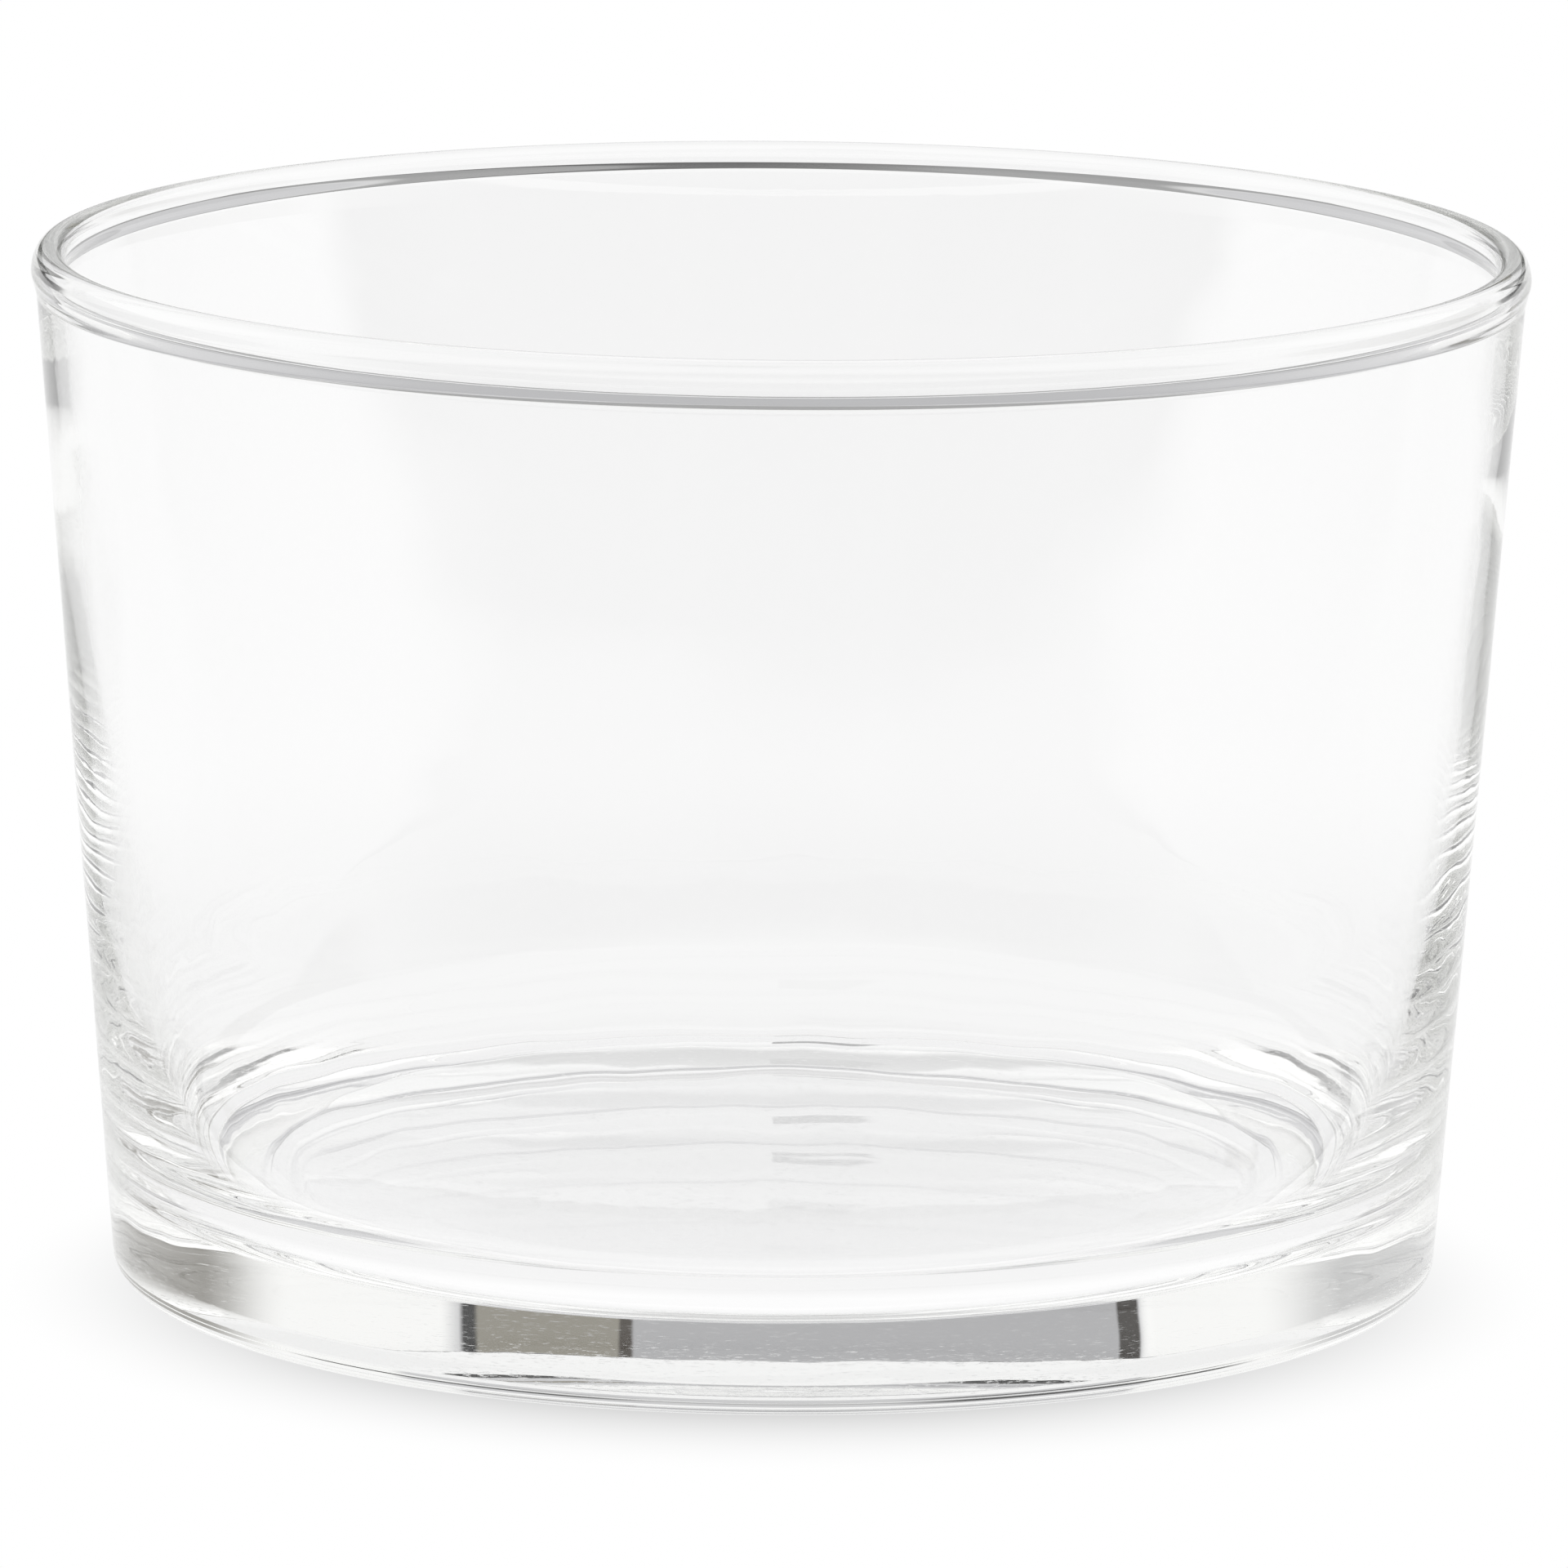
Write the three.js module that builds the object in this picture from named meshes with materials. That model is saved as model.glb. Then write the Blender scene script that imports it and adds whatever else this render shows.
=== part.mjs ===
// Low, tapered vase of clear pressed glass.
//
// The vase is one solid of revolution about +Z: a flat foot ring round a shallow conical hollow, a
// rounded foot edge, a straight wall that leans outwards, and a rounded bead along the rim. The
// inside has a flat floor and a broad rounded corner. Above the corner the glass soon grows thin,
// and it keeps that thickness up to the bead.
//
// Units are millimetres. The origin is the middle of the underside, on the surface that the foot
// stands on, and +Z points out of the mouth.

import * as THREE from 'three';

// ---- driving dimensions ----

const HEIGHT = 60;                 // foot to top of rim
const RIM_DIAMETER = 86;           // across the bead, the widest place

const BEAD_WIDTH = 1.9;            // glass thickness across the rim bead
const OUTER_CROWN = 1.4;           // from the top of the rim down to the bead's widest place
const INNER_CROWN = 0.8;           // the same on the inside, down to its narrowest place
const OUTER_BEND = 1.4;            // height of the bend from the bead into the outer wall
const INNER_BEND = 1.5;            // height of the bend from the bead into the inner wall
const BEND_SOFTNESS = 0.12;        // share of a bend over which it leaves the wall or the bead

const FOOT_EDGE_RADIUS = 1.5;      // rounding between the foot ring and the outer wall
const OUTER_RADIUS_AT_FOOT = 38.4; // outer wall, just above the rounded foot edge
const OUTER_LEAN = 0.0768;         // outward run of the outer wall for each millimetre of height

const WALL = 1.3;                  // thickness of the upper wall
const RUN_OUT = 1.4;               // how much thicker it is where it meets the floor's corner
const RUN_OUT_HEIGHT = 7;          // height over which most of that extra thickness is gone

const FLOOR_HEIGHT = 5;            // inner floor above the surface that the foot stands on
const FLOOR_CORNER_WIDTH = 8;      // rounding between the inner floor and the inner wall, inwards
const FLOOR_CORNER_HEIGHT = 6.8;   // and upwards

const FOOT_RING_INNER_RADIUS = 33; // where the flat foot ring ends and the hollow begins
const HOLLOW_FLAT_RADIUS = 24;     // flat middle of the hollow under the vase
const HOLLOW_DEPTH = 0.2;          // how far that middle stands clear of the surface

const TURNS = 80;                  // facets round the vase, a multiple of four
const FOOT_EDGE_STEPS = 7;         // and steps along each bend of the outline
const BEAD_BEND_STEPS = 5;
const OUTER_CROWN_STEPS = 7;
const INNER_CROWN_STEPS = 6;
const INNER_WALL_STEPS = 9;
const FLOOR_CORNER_STEPS = 9;
const SAME_POINT = 1e-6;           // outline points closer than this are one point

// ---- outline, as (radius, height) points ----

const rimRadius = RIM_DIAMETER / 2;
const beadMiddle = rimRadius - BEAD_WIDTH / 2;
const widestHeight = HEIGHT - OUTER_CROWN;
const narrowestHeight = HEIGHT - INNER_CROWN;
const outerWallTop = widestHeight - OUTER_BEND;
const innerWallTop = narrowestHeight - INNER_BEND;
const outerLeanAngle = Math.atan(OUTER_LEAN);

// The floor's corner is a quarter ellipse, cut short where its slope is that of the inner wall.
const leanAtCorner = OUTER_LEAN + RUN_OUT / RUN_OUT_HEIGHT;
const cornerAngle = Math.atan(leanAtCorner * FLOOR_CORNER_HEIGHT / FLOOR_CORNER_WIDTH);
const cornerTop = FLOOR_HEIGHT + FLOOR_CORNER_HEIGHT * (1 - Math.sin(cornerAngle));

function outerRadius(height) {
  return OUTER_RADIUS_AT_FOOT + OUTER_LEAN * (height - FOOT_EDGE_RADIUS);
}

function innerRadius(height) {
  const runOut = RUN_OUT * Math.exp(-(height - cornerTop) / RUN_OUT_HEIGHT);
  return outerRadius(height) - WALL - runOut;
}

function arc(centre, width, height, startAngle, endAngle, steps) {
  const curve = new THREE.EllipseCurve(
    centre.x, centre.y, width, height, startAngle, endAngle, endAngle < startAngle);
  return curve.getPoints(steps);
}

function joinedOutline(stretches) {
  const outline = [];
  for (const point of stretches.flat()) {
    const last = outline[outline.length - 1];
    if (!last || last.distanceTo(point) > SAME_POINT) {
      outline.push(point);
    }
  }
  return outline;
}

// The underside is flat in the middle and falls as a very shallow cone to the foot ring.
function underside() {
  return [
    new THREE.Vector2(0, HOLLOW_DEPTH),
    new THREE.Vector2(HOLLOW_FLAT_RADIUS, HOLLOW_DEPTH),
    new THREE.Vector2(FOOT_RING_INNER_RADIUS, 0),
  ];
}

// The foot edge is an arc that leaves the foot ring level and meets the leaning wall.
function footEdge() {
  const reach = FOOT_EDGE_RADIUS / Math.cos(outerLeanAngle);
  const centre = new THREE.Vector2(outerRadius(FOOT_EDGE_RADIUS) - reach, FOOT_EDGE_RADIUS);
  return arc(
    centre, FOOT_EDGE_RADIUS, FOOT_EDGE_RADIUS, -Math.PI / 2, -outerLeanAngle, FOOT_EDGE_STEPS);
}

function floorCorner() {
  const centre = new THREE.Vector2(
    innerRadius(cornerTop) - FLOOR_CORNER_WIDTH * Math.cos(cornerAngle),
    FLOOR_HEIGHT + FLOOR_CORNER_HEIGHT);
  return arc(
    centre, FLOOR_CORNER_WIDTH, FLOOR_CORNER_HEIGHT, -cornerAngle, -Math.PI / 2,
    FLOOR_CORNER_STEPS);
}

// The inner wall, from the bead downwards. Its points crowd towards the corner, where it bends most.
function innerWall() {
  const points = [];
  for (let step = 0; step <= INNER_WALL_STEPS; step += 1) {
    const above = (1 - step / INNER_WALL_STEPS) ** 2;
    const height = THREE.MathUtils.lerp(cornerTop, innerWallTop, above);
    points.push(new THREE.Vector2(innerRadius(height), height));
  }
  return points;
}

// A soft bend between a leaning wall and the upright side of the bead, from the wall upwards.
function beadBend(radiusOnWall, wallTop, radiusOnBead, beadSide) {
  const pull = (beadSide - wallTop) * BEND_SOFTNESS;
  const curve = new THREE.CubicBezierCurve(
    new THREE.Vector2(radiusOnWall, wallTop),
    new THREE.Vector2(radiusOnWall + OUTER_LEAN * pull, wallTop + pull),
    new THREE.Vector2(radiusOnBead, beadSide - pull),
    new THREE.Vector2(radiusOnBead, beadSide));
  return curve.getPoints(BEAD_BEND_STEPS);
}

// The bead's crown is two quarter ellipses, a tall one outside and a short one inside.
function rimBead() {
  const halfWidth = BEAD_WIDTH / 2;
  const outerBend = beadBend(
    outerRadius(outerWallTop), outerWallTop, rimRadius, widestHeight);
  const innerBend = beadBend(
    innerRadius(innerWallTop), innerWallTop, rimRadius - BEAD_WIDTH, narrowestHeight);
  const outerCentre = new THREE.Vector2(beadMiddle, widestHeight);
  const innerCentre = new THREE.Vector2(beadMiddle, narrowestHeight);
  return [
    ...outerBend,
    ...arc(outerCentre, halfWidth, OUTER_CROWN, 0, Math.PI / 2, OUTER_CROWN_STEPS),
    ...arc(innerCentre, halfWidth, INNER_CROWN, Math.PI / 2, Math.PI, INNER_CROWN_STEPS),
    ...innerBend.reverse(),
  ];
}

function vaseOutline() {
  const floorMiddle = new THREE.Vector2(0, FLOOR_HEIGHT);
  return joinedOutline(
    [underside(), footEdge(), rimBead(), innerWall(), floorCorner(), [floorMiddle]]);
}

// ---- the vase ----

const clearGlass = new THREE.MeshStandardMaterial({
  color: 0xf4f7f6,
  roughness: 0.03,
  metalness: 0,
});

function glassVase() {
  const geometry = new THREE.LatheGeometry(vaseOutline(), TURNS);
  geometry.rotateX(Math.PI / 2);
  const vase = new THREE.Mesh(geometry, clearGlass);
  vase.name = 'glass_vase';
  return vase;
}

const model = new THREE.Group();
model.add(glassVase());

export default model;
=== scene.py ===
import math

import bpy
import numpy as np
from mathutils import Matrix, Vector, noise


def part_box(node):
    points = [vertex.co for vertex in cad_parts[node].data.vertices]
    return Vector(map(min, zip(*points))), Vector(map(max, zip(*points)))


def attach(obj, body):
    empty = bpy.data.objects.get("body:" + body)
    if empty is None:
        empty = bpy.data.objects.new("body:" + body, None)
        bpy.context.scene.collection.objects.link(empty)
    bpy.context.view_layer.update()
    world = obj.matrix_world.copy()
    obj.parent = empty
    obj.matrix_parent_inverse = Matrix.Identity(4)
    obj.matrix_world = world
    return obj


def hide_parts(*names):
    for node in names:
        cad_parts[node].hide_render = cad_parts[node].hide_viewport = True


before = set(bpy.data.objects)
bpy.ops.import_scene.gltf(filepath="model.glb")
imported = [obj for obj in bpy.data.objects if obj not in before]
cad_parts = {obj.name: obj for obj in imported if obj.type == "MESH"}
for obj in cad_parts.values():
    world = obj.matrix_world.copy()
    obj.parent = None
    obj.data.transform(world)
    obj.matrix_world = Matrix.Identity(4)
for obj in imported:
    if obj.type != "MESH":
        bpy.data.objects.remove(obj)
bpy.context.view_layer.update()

# Low, tapered vase of clear pressed glass, standing on a white studio floor.
#
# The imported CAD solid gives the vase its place, height and width. One fine mesh stands for it here:
# the same outline turned about +Z with far more facets, with the faint unevenness that pressed
# glass keeps from its mould. Everything is in metres in the frame's own axes.

CAD_NODE = "glass_vase"
MM = 0.001

# ---- sizes of the vase, as in the CAD source ----

LOW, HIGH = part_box(CAD_NODE)
HEIGHT = HIGH.z - LOW.z
RIM_RADIUS = (HIGH.x - LOW.x) / 2

BEAD_WIDTH = 1.9 * MM
FOOT_EDGE_RADIUS = 1.5 * MM
OUTER_RADIUS_AT_FOOT = 38.4 * MM
OUTER_LEAN = 0.0768
RUN_OUT = 1.4 * MM            # how much thicker the wall is where it meets the floor's corner
RUN_OUT_HEIGHT = 7 * MM       # and the height over which most of that is gone
FLOOR_HEIGHT = 5.0 * MM
FLOOR_CORNER_WIDTH = 8 * MM
FLOOR_CORNER_HEIGHT = 6.8 * MM
FOOT_RING_INNER_RADIUS = 33 * MM
HOLLOW_FLAT_RADIUS = 24 * MM
HOLLOW_DEPTH = 0.2 * MM
HOLLOW_BLEND = 1.0 * MM

# ---- how finely the mesh is cut ----

TURNS = 420                   # facets round the vase
HOLLOW_STEPS = 16             # and steps along each stretch of the outline
HOLLOW_EDGE_STEPS = 8
CONE_STEPS = 12
FOOT_STEPS = 8
FOOT_EDGE_STEPS = 16
OUTER_WALL_STEPS = 110
BEAD_BEND_STEPS = 20
OUTER_CROWN_STEPS = 20
INNER_CROWN_STEPS = 18
INNER_WALL_STEPS = 100
FLOOR_CORNER_STEPS = 36
FLOOR_STEPS = 36
SAME_POINT = 1e-9

# ---- unevenness that the mould leaves ----

FLOOR_RISE_BACK = 0.6 * MM    # the inner floor stands this much higher at +Y, and lower at -Y
FLOOR_RISE_RIGHT = 0.1 * MM   # and this much higher at +X, and lower at -X
BROAD_WAVE = 11 * MM          # from one swell to the next
BROAD_WAVE_HEIGHT = 0.03 * MM
FLOOR_WAVE_HEIGHT = 0.001 * MM
FLOOR_CLEARANCE = 0.1 * MM    # what is less than this above the floor counts as floor
RIPPLE = 3.4 * MM             # from one ripple to the next, on the lower wall
RIPPLE_HEIGHT = 0.010 * MM
RIPPLE_FULL_BELOW = 14 * MM
RIPPLE_GONE_ABOVE = 34 * MM
CALM_BELOW = 2 * MM           # the foot and the bead keep their exact shape
UNEVEN_ABOVE = 3 * CALM_BELOW
CALM_ABOVE = 54 * MM
CALM_FADE = 6 * MM
NOISE_OFFSET = 40.0           # keeps the inside's pattern apart from the outside's

BEAD_MIDDLE = RIM_RADIUS - BEAD_WIDTH / 2
LEAN_AT_CORNER = OUTER_LEAN + RUN_OUT / RUN_OUT_HEIGHT
CORNER_ANGLE = math.atan(LEAN_AT_CORNER * FLOOR_CORNER_HEIGHT / FLOOR_CORNER_WIDTH)
CORNER_TOP = FLOOR_HEIGHT + FLOOR_CORNER_HEIGHT * (1 - math.sin(CORNER_ANGLE))


class Side:
    """How thick the wall is on one side of the vase, and how it runs into the rim bead there: the
    heights of the bead's crown and bends, and how soft the ends of the bends are."""

    def __init__(self, wall, outer_crown, outer_bend, inner_crown, inner_bend, softness):
        self.wall = wall
        self.widest = HEIGHT - outer_crown
        self.narrowest = HEIGHT - inner_crown
        self.outer_wall_top = self.widest - outer_bend
        self.inner_wall_top = self.narrowest - inner_bend
        self.softness = softness


# The glass is not quite even. The wall is thicker at +Y, and there the bead's bend is sharper inside;
# at -Y it is sharper outside. The CAD solid is the mean of the two.
BACK = Side(1.60 * MM, 0.87 * MM, 2.3 * MM, 1.10 * MM, 0.5 * MM, 0.10)
FRONT = Side(0.95 * MM, 1.95 * MM, 0.45 * MM, 0.55 * MM, 2.5 * MM, 0.14)


def blend_between(low, high, along):
    return low + (high - low) * along


def outer_radius(height):
    return OUTER_RADIUS_AT_FOOT + OUTER_LEAN * (height - FOOT_EDGE_RADIUS)


def inner_radius(height, wall):
    """The wall grows thinner upwards, quickly at first."""
    run_out = RUN_OUT * math.exp(-(height - CORNER_TOP) / RUN_OUT_HEIGHT)
    return outer_radius(height) - wall - run_out


# ---- outline stretches, each a list of (radius, height) points ----

def arc(centre, width, height, start, end, steps):
    angles = [blend_between(start, end, step / steps) for step in range(steps + 1)]
    return [(centre[0] + width * math.cos(a), centre[1] + height * math.sin(a)) for a in angles]


def straight(start, end, steps):
    """Points crowd towards both ends, so that smooth shading stays true beside a bend."""
    points = []
    for step in range(steps + 1):
        along = (1 - math.cos(math.pi * step / steps)) / 2
        points.append((blend_between(start[0], end[0], along), blend_between(start[1], end[1], along)))
    return points


def bend(start, start_pull, end_pull, end, steps):
    points = []
    for step in range(steps + 1):
        t = step / steps
        weights = ((1 - t) ** 3, 3 * t * (1 - t) ** 2, 3 * t * t * (1 - t), t ** 3)
        corners = (start, start_pull, end_pull, end)
        points.append(tuple(sum(w * c[axis] for w, c in zip(weights, corners)) for axis in (0, 1)))
    return points


def underside():
    """Flat in the middle, then a very shallow cone down to the foot ring, with soft edges."""
    fall = HOLLOW_DEPTH / (FOOT_RING_INNER_RADIUS - HOLLOW_FLAT_RADIUS)
    flat_edge = (HOLLOW_FLAT_RADIUS, HOLLOW_DEPTH)
    ring_edge = (FOOT_RING_INNER_RADIUS, 0.0)
    before_cone = (HOLLOW_FLAT_RADIUS - HOLLOW_BLEND, HOLLOW_DEPTH)
    cone_top = (HOLLOW_FLAT_RADIUS + HOLLOW_BLEND, HOLLOW_DEPTH - fall * HOLLOW_BLEND)
    cone_foot = (FOOT_RING_INNER_RADIUS - HOLLOW_BLEND, fall * HOLLOW_BLEND)
    after_cone = (FOOT_RING_INNER_RADIUS + HOLLOW_BLEND, 0.0)
    return (straight((0.0, HOLLOW_DEPTH), before_cone, HOLLOW_STEPS)
            + bend(before_cone, flat_edge, flat_edge, cone_top, HOLLOW_EDGE_STEPS)
            + straight(cone_top, cone_foot, CONE_STEPS)
            + bend(cone_foot, ring_edge, ring_edge, after_cone, HOLLOW_EDGE_STEPS))


def foot():
    """The flat foot ring, and the rounded edge that meets the leaning wall."""
    angle = math.atan(OUTER_LEAN)
    centre = (outer_radius(FOOT_EDGE_RADIUS) - FOOT_EDGE_RADIUS / math.cos(angle), FOOT_EDGE_RADIUS)
    edge = arc(
        centre, FOOT_EDGE_RADIUS, FOOT_EDGE_RADIUS, -math.pi / 2, -angle, FOOT_EDGE_STEPS)
    return straight((FOOT_RING_INNER_RADIUS + HOLLOW_BLEND, 0.0), edge[0], FOOT_STEPS) + edge


def inner_wall(side):
    """From the bead down to the floor's corner."""
    spread = straight((side.inner_wall_top, 0.0), (CORNER_TOP, 0.0), INNER_WALL_STEPS)
    heights = [height for height, _ in spread]
    return [(inner_radius(height, side.wall), height) for height in heights]


def floor_corner(side):
    """A quarter ellipse that meets the wall along its lean."""
    centre = (inner_radius(CORNER_TOP, side.wall) - FLOOR_CORNER_WIDTH * math.cos(CORNER_ANGLE),
              FLOOR_HEIGHT + FLOOR_CORNER_HEIGHT)
    return arc(
        centre, FLOOR_CORNER_WIDTH, FLOOR_CORNER_HEIGHT, -CORNER_ANGLE, -math.pi / 2,
        FLOOR_CORNER_STEPS)


def bead_bend(radius_on_wall, wall_top, radius_on_bead, bead_side, softness):
    """From the leaning wall up to the upright side of the bead."""
    pull = (bead_side - wall_top) * softness
    return bend(
        (radius_on_wall, wall_top),
        (radius_on_wall + OUTER_LEAN * pull, wall_top + pull),
        (radius_on_bead, bead_side - pull),
        (radius_on_bead, bead_side),
        BEAD_BEND_STEPS)


def rim_bead(side):
    """The two bends, with two quarter ellipses between them that make the bead's crown."""
    outer_bend = bead_bend(
        outer_radius(side.outer_wall_top), side.outer_wall_top, RIM_RADIUS, side.widest,
        side.softness)
    inner_bend = bead_bend(
        inner_radius(side.inner_wall_top, side.wall), side.inner_wall_top,
        RIM_RADIUS - BEAD_WIDTH, side.narrowest, side.softness)
    half = BEAD_WIDTH / 2
    outer_crown = arc(
        (BEAD_MIDDLE, side.widest), half, HEIGHT - side.widest, 0, math.pi / 2,
        OUTER_CROWN_STEPS)
    inner_crown = arc(
        (BEAD_MIDDLE, side.narrowest), half, HEIGHT - side.narrowest, math.pi / 2, math.pi,
        INNER_CROWN_STEPS)
    return outer_bend + outer_crown + inner_crown + inner_bend[::-1]


def joined(*stretches):
    """One outline, without the double points where stretches meet."""
    outline = []
    for point in (p for stretch in stretches for p in stretch):
        if not outline or math.dist(outline[-1], point) > SAME_POINT:
            outline.append(point)
    return outline


def vase_outline(side):
    """From the middle of the underside, round the rim, to the middle of the inner floor."""
    outer_foot = foot()
    rim = rim_bead(side)
    corner = floor_corner(side)
    return joined(
        underside(),
        outer_foot,
        straight(outer_foot[-1], rim[0], OUTER_WALL_STEPS),
        rim,
        inner_wall(side),
        corner,
        straight(corner[-1], (0.0, FLOOR_HEIGHT), FLOOR_STEPS))


# ---- the mesh ----

def backness(angle):
    """1 at +Y, 0 at -Y."""
    return (1 + math.sin(angle)) / 2


def rise_between(value, low, high):
    """0 at low and 1 at high, with a smooth start and end."""
    along = min(max((value - low) / (high - low), 0.0), 1.0)
    return along * along * (3 - 2 * along)


def outward(shape, ring):
    """Direction out of the glass at one point of the outline, as (radius, height)."""
    step = shape[ring + 1] - shape[ring - 1]
    length = math.hypot(step[0], step[1])
    return step[1] / length, -step[0] / length


def unevenness(place, inside, on_floor):
    """How far the glass swells out of its true shape at a place on it."""
    seed = Vector((NOISE_OFFSET, 0.0, 0.0)) if inside else Vector((0.0, 0.0, 0.0))
    broad = noise.noise(place / BROAD_WAVE + seed)
    if on_floor:
        return broad * FLOOR_WAVE_HEIGHT
    calm = 1.0 if inside else rise_between(place.z, CALM_BELOW, UNEVEN_ABOVE)
    calm *= 1 - rise_between(place.z, CALM_ABOVE - CALM_FADE, CALM_ABOVE)
    low_down = 1 - rise_between(place.z, RIPPLE_FULL_BELOW, RIPPLE_GONE_ABOVE)
    ripple = noise.noise(place / RIPPLE + 3 * seed) * RIPPLE_HEIGHT * low_down
    return (broad * BROAD_WAVE_HEIGHT + ripple) * calm


def turned(name, back_outline, front_outline, turns):
    """A closed solid turned about +Z, from one outline at +Y to the other at -Y. Both outlines
    have as many points, and start and end on the axis."""
    back = np.array(back_outline)
    front = np.array(front_outline)
    angles = [2 * math.pi * turn / turns for turn in range(turns)]
    shapes = [front + (back - front) * backness(angle) for angle in angles]
    top_ring = int(np.argmax(back[:, 1]))
    vertices = []
    for ring in range(1, len(back) - 1):
        for angle, shape in zip(angles, shapes):
            radius, height = shape[ring]
            inside = ring > top_ring
            place = Vector((radius * math.cos(angle), radius * math.sin(angle), height))
            out_radius, out_height = outward(shape, ring)
            if height > HOLLOW_DEPTH:
                on_floor = inside and height < FLOOR_HEIGHT + FLOOR_CLEARANCE
                swell = unevenness(place, inside, on_floor)
                place += swell * Vector((
                    out_radius * math.cos(angle), out_radius * math.sin(angle), out_height))
            if inside:
                tilted = 1 - rise_between(height, CORNER_TOP, 2 * CORNER_TOP)
                rise = FLOOR_RISE_RIGHT * place.x + FLOOR_RISE_BACK * place.y
                place.z += tilted * rise / FOOT_RING_INNER_RADIUS
            vertices.append(tuple(place))
    first_pole = len(vertices)
    last_pole = first_pole + 1
    vertices += [(0.0, 0.0, back[0][1]), (0.0, 0.0, back[-1][1])]

    faces = []
    last_ring = (len(back) - 3) * turns
    for turn in range(turns):
        after = (turn + 1) % turns
        faces.append((first_pole, after, turn))
        faces.append((last_pole, last_ring + turn, last_ring + after))
        for ring in range(0, last_ring, turns):
            faces.append((ring + turn, ring + after, ring + turns + after, ring + turns + turn))

    mesh = bpy.data.meshes.new(name)
    mesh.from_pydata(vertices, [], faces)
    mesh.validate()
    mesh.shade_smooth()
    vase = bpy.data.objects.new(name, mesh)
    bpy.context.scene.collection.objects.link(vase)
    return vase


# ---- sizes and tones of the glass ----

REFRACTION = 1.52
GLASS_TINT = (0.70, 0.72, 0.62, 1.0)
GLASS_DENSITY = 0.8
PEEL = 2.4 * MM               # from one dimple of the orange peel to the next
PEEL_HEIGHT = 0.001 * MM
FOOT_WEAR = 0.25              # roughness of the worn spots on the foot
WEAR_HEIGHT = 0.6 * MM        # how far up the foot's edge they reach
WEAR_SPOT = 0.5 * MM          # from one worn spot to the next
WEAR_FROM, WEAR_TO = 0.55, 0.7    # share of the spots' noise where wear begins and is full
WEAR_DENT = -0.3              # depth of a worn spot, against the height of the peel

# ---- sizes and tones of the studio ----

FLOOR_REACH = 5.0
FLOOR_GAP = 0.03 * MM
DOME_LIGHT = 1.0
ROOM_TONE = (0.95, 0.95, 0.94)

# The table as the glass sees it: painted light under the vase, painted shade round it and towards -Y.
# Seen straight, it is white but for the vase's painted shadow.
TONE_UNDER_VASE = 1.0
TONE_NEAR_VASE = 0.92
TONE_FAR_AWAY = 0.975
TONE_IN_FRONT = 0.10
COVERED_RADIUS = 34 * MM      # what lies under the foot ring and inside it
COVERED_SOFTNESS = 1.5 * MM
NEAR_RADIUS = 60 * MM
FAR_RADIUS = 150 * MM
DIM_FROM = 150 * MM           # towards -Y the table fades out between these two distances
DARK_FROM = 600 * MM

# The foot's shadow is a painted shadow in the table's glow; these four give its shape.
SHADOW_DEPTH = 0.34           # how much light is missing where the shadow is darkest
SHADOW_REACH = 14 * MM        # how wide its soft edge is
SHADOW_SHIFT = 5 * MM         # how far it lies towards -Y
SHADOW_FALL = 2.0             # how quickly it fades at first, as a power

CAMERA_AWAY = 0.745
CAMERA_SIDEWAYS = 0.0004
CAMERA_HEIGHT = 0.1722
AIM_HEIGHT = 0.0285
CAMERA_ROLL = 0.0085
LENS = 301.3
SENSOR = 36.0
NEAREST, FARTHEST = 0.05, 20.0

MOST_BOUNCES = 256            # light that enters the wall edge-on goes round inside it many times


class Panel:
    """A soft-edged patch of the room, in degrees: azimuth from +Y towards +X, and elevation."""

    def __init__(self, tone, azimuth, elevation, soft_azimuth=4.0, soft_elevation=1.0):
        self.tone = tone
        self.azimuth = azimuth
        self.elevation = elevation
        self.soft_azimuth = soft_azimuth
        self.soft_elevation = soft_elevation


ROUND = (-400, 400)
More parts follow.
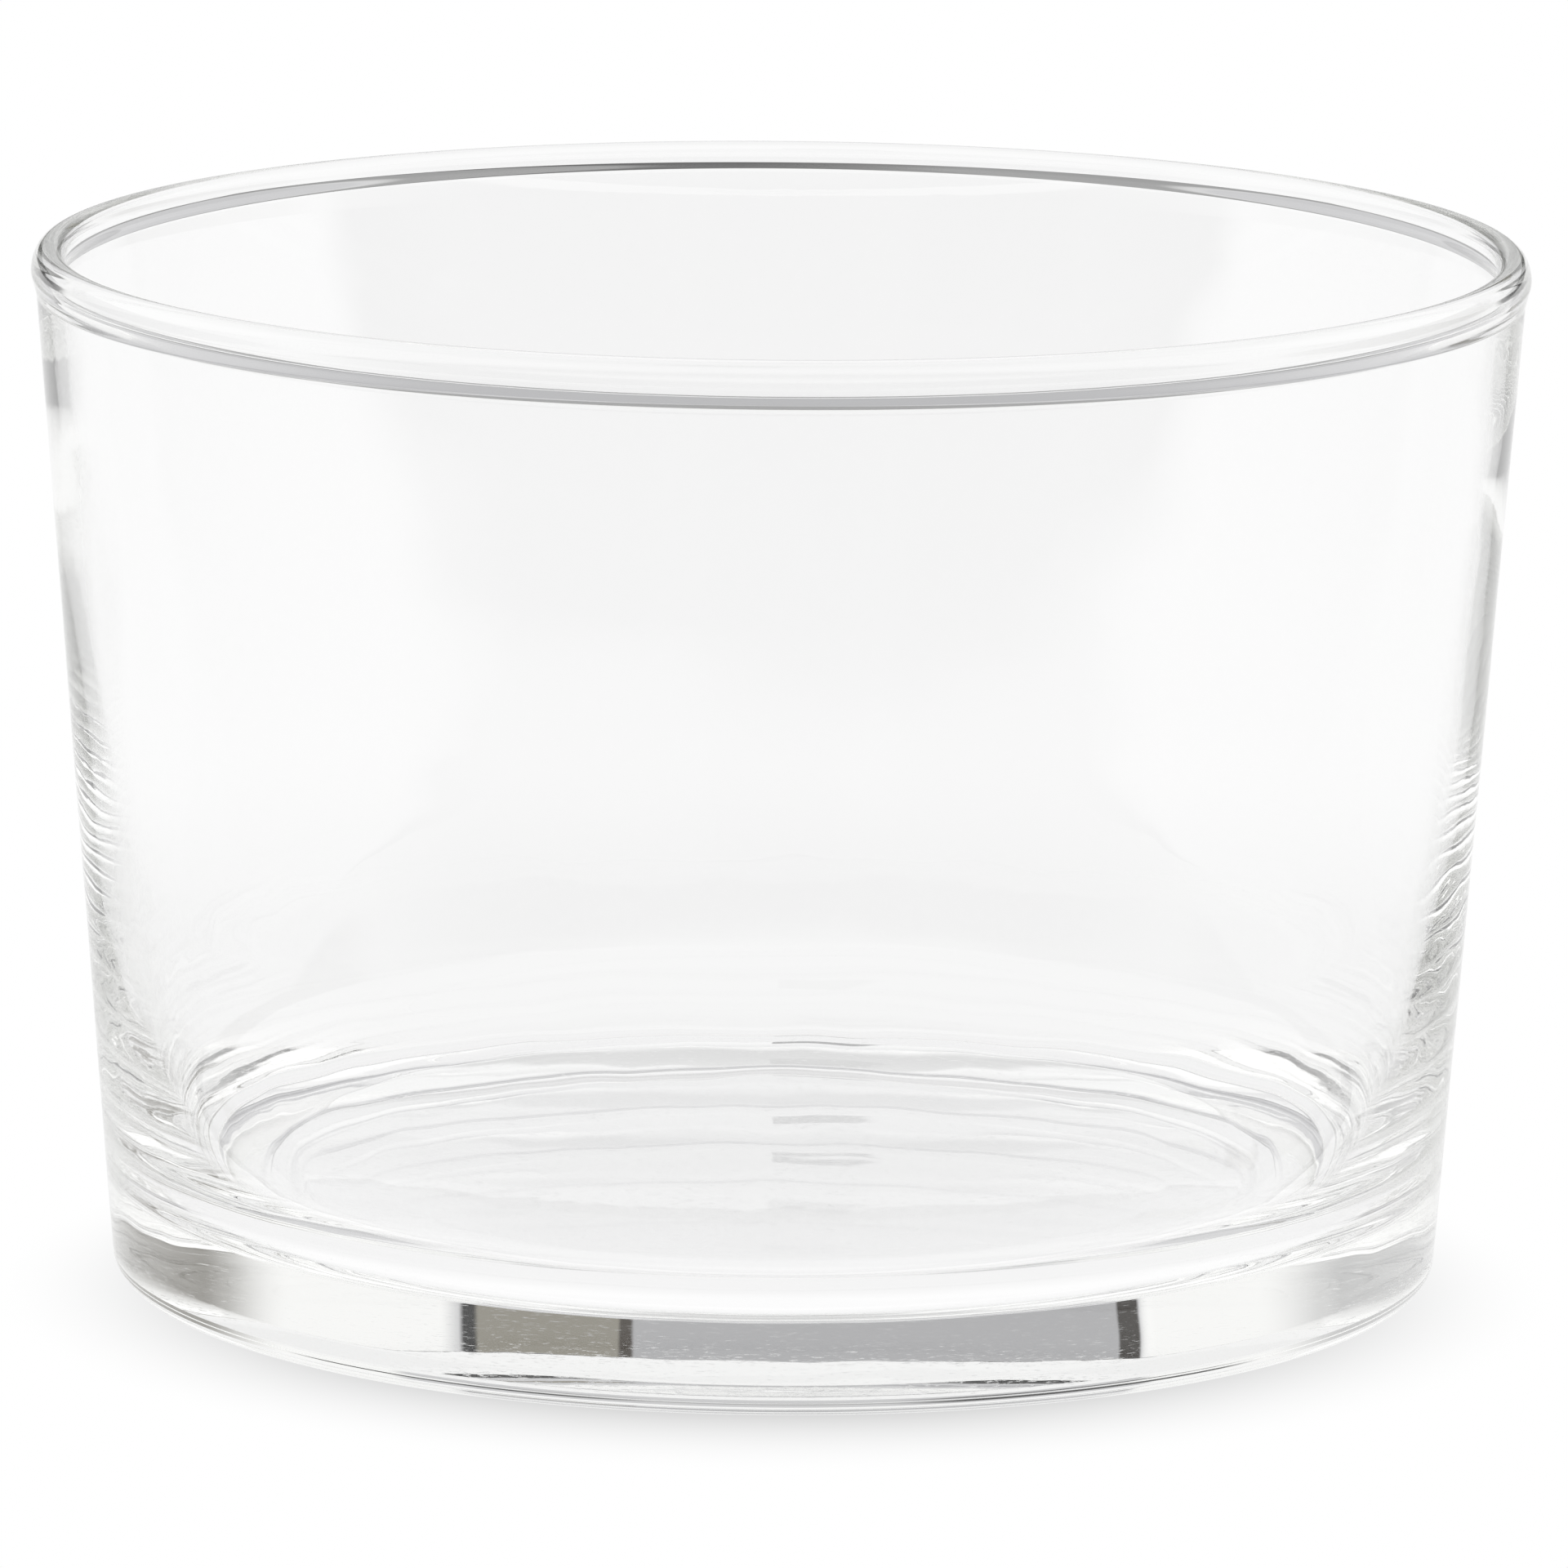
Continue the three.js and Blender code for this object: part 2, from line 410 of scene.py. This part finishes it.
# Later panels lie over earlier ones.
PANELS = [
    Panel((1.15, 1.15, 1.14), ROUND, (12, 45)),                          # bright upper walls
    Panel((0.58, 0.58, 0.59), (-24, 24), (4, 40), 2.0),                  # grey backdrop
    Panel((0.95, 0.95, 0.94), (-45, -24), (12, 45), 2.0),                # white boards at its sides
    Panel((0.95, 0.95, 0.94), (20, 45), (12, 45), 2.0),
    Panel((0.41, 0.41, 0.42), (-23.5, 19), (12, 17), 0.8, 0.4),          # the backdrop's shaded foot
    Panel((0.27, 0.255, 0.215), (8.5, 18.8), (12.4, 15), 0.8, 0.8),      # brown stand in front of it
    Panel((0.02, 0.02, 0.02), (18.2, 19.3), (12, 16), 0.5, 0.6),         # dark edge of the stand
    Panel((0.05, 0.04, 0.03), (8.0, 8.8), (12.2, 15), 0.3, 0.6),         # and its other edge
    Panel((0.03, 0.025, 0.02), (-23.5, -21.8), (12, 16), 0.3, 0.6),      # edge of the backdrop
    Panel((0.46, 0.46, 0.47), (-5, 5), (16.5, 26), 5.0, 4.0),            # fold in the backdrop
    Panel((0.33, 0.33, 0.33), (-30, 30), (0.2, 3.9), 10.0, 0.8),         # gap behind the table
    Panel((0.11, 0.11, 0.11), (-30, 0.6), (0.5, 1.5), 2.0, 0.4),         # end of the table
    Panel((0.04, 0.04, 0.04), (-33, -9), (0.4, 6.2), 6.0, 1.2),          # dark floor beside the table
    Panel((0.04, 0.04, 0.04), (9, 33), (0.4, 5.0), 6.0, 1.2),
    Panel((0.22, 0.21, 0.185), (42, 95), (3, 15.2), 14.0, 1.6),          # dark stands at the sides
    Panel((0.52, 0.52, 0.52), (-95, -42), (3, 15.2), 14.0, 1.6),
    Panel((0.08, 0.08, 0.08), (108, 252), (-4, 17), 50.0, 6.0),          # dark camera side
    Panel((0.08, 0.08, 0.08), (-252, -108), (-4, 17), 50.0, 6.0),
    Panel((0.95, 0.95, 0.95), ROUND, (45, 91), 4.0, 4.0),                # ceiling
    Panel((0.64, 0.64, 0.64), (-24, 24), (46, 80), 10.0, 6.0),           # and its darker patches
    Panel((0.30, 0.30, 0.30), (-184, -150), (61, 72), 6.0, 1.5),
]


# ---- materials ----

class NodeSheet:
    """Short words for building a node tree."""

    def __init__(self, tree):
        self.tree = tree

    def add(self, kind, **inputs):
        node = self.tree.nodes.new(kind)
        for name, value in inputs.items():
            node.inputs[name].default_value = value
        return node

    def join(self, source, target):
        self.tree.links.new(source, target)

    def put(self, value, socket):
        if isinstance(value, bpy.types.NodeSocket):
            self.join(value, socket)
        elif value is not None:
            socket.default_value = value

    def maths(self, operation, first, second=None, third=None, clamp=False):
        node = self.tree.nodes.new("ShaderNodeMath")
        node.operation = operation
        node.use_clamp = clamp
        for socket, value in zip(node.inputs, (first, second, third)):
            self.put(value, socket)
        return node.outputs[0]

    def step_between(self, value, low, high):
        node = self.tree.nodes.new("ShaderNodeMapRange")
        node.interpolation_type = "SMOOTHSTEP"
        self.join(value, node.inputs["Value"])
        node.inputs["From Min"].default_value = low
        node.inputs["From Max"].default_value = high
        return node.outputs["Result"]

    def band_between(self, value, low, high, soft):
        """1 between low and high, falling to 0 over a soft edge that is centred on each."""
        rising = self.step_between(value, low - soft / 2, low + soft / 2)
        falling = self.step_between(value, high - soft / 2, high + soft / 2)
        return self.maths("SUBTRACT", rising, falling)

    def mix_colour(self, factor, low, high):
        """low where factor is 0, high where it is 1."""
        node = self.tree.nodes.new("ShaderNodeMix")
        node.data_type = "RGBA"
        sockets = (node.inputs[0], node.inputs[6], node.inputs[7])
        for socket, value in zip(sockets, (factor, low, high)):
            self.put(value, socket)
        return node.outputs[2]

    def mix(self, factor, low, high):
        """The same for plain numbers."""
        node = self.tree.nodes.new("ShaderNodeMix")
        node.data_type = "FLOAT"
        sockets = (node.inputs[0], node.inputs[2], node.inputs[3])
        for socket, value in zip(sockets, (factor, low, high)):
            self.put(value, socket)
        return node.outputs[0]


def clear_glass():
    """Fire-polished pressed glass: faint orange peel, and fine wear where it stands on its foot."""
    material = bpy.data.materials.new("clear_glass")
    material.use_nodes = True
    sheet = NodeSheet(material.node_tree)
    shader = sheet.tree.nodes["Principled BSDF"]
    shader.inputs["Base Color"].default_value = (1.0, 1.0, 1.0, 1.0)
    shader.inputs["IOR"].default_value = REFRACTION
    shader.inputs["Transmission Weight"].default_value = 1.0

    place = sheet.add("ShaderNodeTexCoord").outputs["Object"]
    split = sheet.add("ShaderNodeSeparateXYZ")
    sheet.join(place, split.inputs[0])
    height = split.outputs[2]

    def cloud(size, detail, roughness=0.5):
        node = sheet.add("ShaderNodeTexNoise", Scale=1 / size, Detail=detail, Roughness=roughness)
        sheet.join(place, node.inputs["Vector"])
        return node.outputs[0]

    peel = cloud(PEEL, 1.0)
    spots = sheet.step_between(cloud(WEAR_SPOT, 3.0, 0.7), WEAR_FROM, WEAR_TO)
    at_foot = sheet.step_between(height, WEAR_HEIGHT, 0.0)
    wear = sheet.maths("MULTIPLY", at_foot, spots)
    sheet.join(sheet.maths("MULTIPLY", wear, FOOT_WEAR), shader.inputs["Roughness"])

    relief = sheet.maths("MULTIPLY_ADD", wear, WEAR_DENT, peel)
    bump = sheet.add("ShaderNodeBump", Strength=1.0, Distance=PEEL_HEIGHT)
    sheet.join(relief, bump.inputs["Height"])
    sheet.join(bump.outputs[0], shader.inputs["Normal"])

    tint = sheet.add("ShaderNodeVolumeAbsorption", Color=GLASS_TINT, Density=GLASS_DENSITY)
    sheet.join(tint.outputs[0], sheet.tree.nodes["Material Output"].inputs["Volume"])
    return material


def table_material():
    """A glowing white table with the foot's soft shadow painted in, shifted towards -Y as if lit from
    +Y.
    """
    material = bpy.data.materials.new("table_white")
    material.use_nodes = True
    sheet = NodeSheet(material.node_tree)
    material.node_tree.nodes.remove(material.node_tree.nodes["Principled BSDF"])
    place = sheet.add("ShaderNodeNewGeometry").outputs["Position"]

    def distance_from(centre):
        node = sheet.tree.nodes.new("ShaderNodeVectorMath")
        node.operation = "DISTANCE"
        sheet.join(place, node.inputs[0])
        node.inputs[1].default_value = centre
        return node.outputs["Value"]

    # Painted light and shade that rays from the glass see: plain under the vase, darker round it, dark
    # towards -Y.
    from_axis = distance_from((0.0, 0.0, LOW.z))
    outside = sheet.step_between(
        from_axis, COVERED_RADIUS - COVERED_SOFTNESS, COVERED_RADIUS + COVERED_SOFTNESS)
    far = sheet.step_between(from_axis, NEAR_RADIUS, FAR_RADIUS)
    painted_light_and_shade = sheet.mix(outside, TONE_UNDER_VASE, sheet.mix(far, TONE_NEAR_VASE, TONE_FAR_AWAY))
    split = sheet.add("ShaderNodeSeparateXYZ")
    sheet.join(place, split.inputs[0])
    in_front = sheet.step_between(split.outputs[1], -DIM_FROM, -DARK_FROM)
    painted_light_and_shade = sheet.mix(in_front, painted_light_and_shade, TONE_IN_FRONT)

    # Painted shadow of the foot that the camera sees: the glow is darkened round the foot, most
    # towards -Y.
    shadow_end = OUTER_RADIUS_AT_FOOT + SHADOW_REACH / 2
    from_shadow = distance_from((0.0, -SHADOW_SHIFT, LOW.z))
    fade = sheet.tree.nodes.new("ShaderNodeMapRange")
    sheet.join(from_shadow, fade.inputs["Value"])
    fade.inputs["From Min"].default_value = shadow_end
    fade.inputs["From Max"].default_value = shadow_end - SHADOW_REACH
    fading = sheet.maths("POWER", fade.outputs["Result"], SHADOW_FALL)
    shade = sheet.maths("MULTIPLY", fading, SHADOW_DEPTH)
    seen = sheet.maths("SUBTRACT", 1.0, shade)

    light = sheet.add("ShaderNodeLightPath")
    glow = sheet.add("ShaderNodeEmission")
    sheet.join(sheet.mix(light.outputs["Is Camera Ray"], painted_light_and_shade, seen), glow.inputs["Strength"])
    sheet.join(glow.outputs[0], sheet.tree.nodes["Material Output"].inputs["Surface"])
    return material


# ---- the studio ----

def studio_floor():
    top = LOW.z - FLOOR_GAP
    corners = [(-FLOOR_REACH, -FLOOR_REACH, top), (FLOOR_REACH, -FLOOR_REACH, top),
               (FLOOR_REACH, FLOOR_REACH, top), (-FLOOR_REACH, FLOOR_REACH, top)]
    mesh = bpy.data.meshes.new("studio_floor")
    mesh.from_pydata(corners, [], [(0, 1, 2, 3)])
    mesh.materials.append(table_material())
    floor = bpy.data.objects.new("studio_floor", mesh)
    bpy.context.scene.collection.objects.link(floor)


def studio_world():
    """A white room with a grey backdrop, as the glass sees it; the camera itself sees plain white."""
    world = bpy.data.worlds.new("studio")
    world.use_nodes = True
    bpy.context.scene.world = world
    sheet = NodeSheet(world.node_tree)
    background = world.node_tree.nodes["Background"]
    place = sheet.add("ShaderNodeTexCoord")
    split = sheet.add("ShaderNodeSeparateXYZ")
    sheet.join(place.outputs["Generated"], split.inputs[0])
    across, ahead, up = split.outputs
    elevation = sheet.maths("ARCSINE", up)
    azimuth = sheet.maths("ARCTAN2", across, ahead)

    room = (*ROOM_TONE, 1.0)
    for panel in PANELS:
        around = sheet.band_between(
            azimuth, *(math.radians(angle) for angle in (*panel.azimuth, panel.soft_azimuth)))
        upwards = sheet.band_between(
            elevation, *(math.radians(angle) for angle in (*panel.elevation, panel.soft_elevation)))
        room = sheet.mix_colour(sheet.maths("MULTIPLY", around, upwards), room, (*panel.tone, 1.0))

    light = sheet.add("ShaderNodeLightPath")
    plain = sheet.maths("MAXIMUM", light.outputs["Is Camera Ray"], light.outputs["Is Diffuse Ray"])
    sheet.join(sheet.mix_colour(plain, room, (1.0, 1.0, 1.0, 1.0)), background.inputs["Color"])
    background.inputs["Strength"].default_value = DOME_LIGHT


def studio_camera():
    """The camera stands low in front of the vase, with a long lens."""
    eye = Vector((CAMERA_SIDEWAYS, -CAMERA_AWAY, CAMERA_HEIGHT))
    aim = Vector((CAMERA_SIDEWAYS, 0.0, AIM_HEIGHT))
    data = bpy.data.cameras.new("studio_camera")
    data.sensor_width = SENSOR
    data.lens = LENS
    data.clip_start = NEAREST
    data.clip_end = FARTHEST
    camera = bpy.data.objects.new("studio_camera", data)
    upright = (aim - eye).to_track_quat("-Z", "Y").to_matrix()
    turn = upright @ Matrix.Rotation(CAMERA_ROLL, 3, "Z")
    camera.matrix_world = Matrix.Translation(eye) @ turn.to_4x4()
    bpy.context.scene.collection.objects.link(camera)
    bpy.context.scene.camera = camera


def light_paths():
    """Enough bounces for light in the wall to find its way out, and plain, unfilmic tones."""
    scene = bpy.context.scene
    scene.view_settings.view_transform = "Standard"
    scene.cycles.max_bounces = MOST_BOUNCES
    scene.cycles.transmission_bounces = MOST_BOUNCES
    scene.cycles.glossy_bounces = MOST_BOUNCES
    scene.cycles.diffuse_bounces = 3


# ---- the scene ----

studio_camera()
studio_floor()
studio_world()
light_paths()

vase = turned("clear_glass_vase", vase_outline(BACK), vase_outline(FRONT), TURNS)
vase.data.materials.append(clear_glass())
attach(vase, "root")
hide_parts(CAD_NODE)
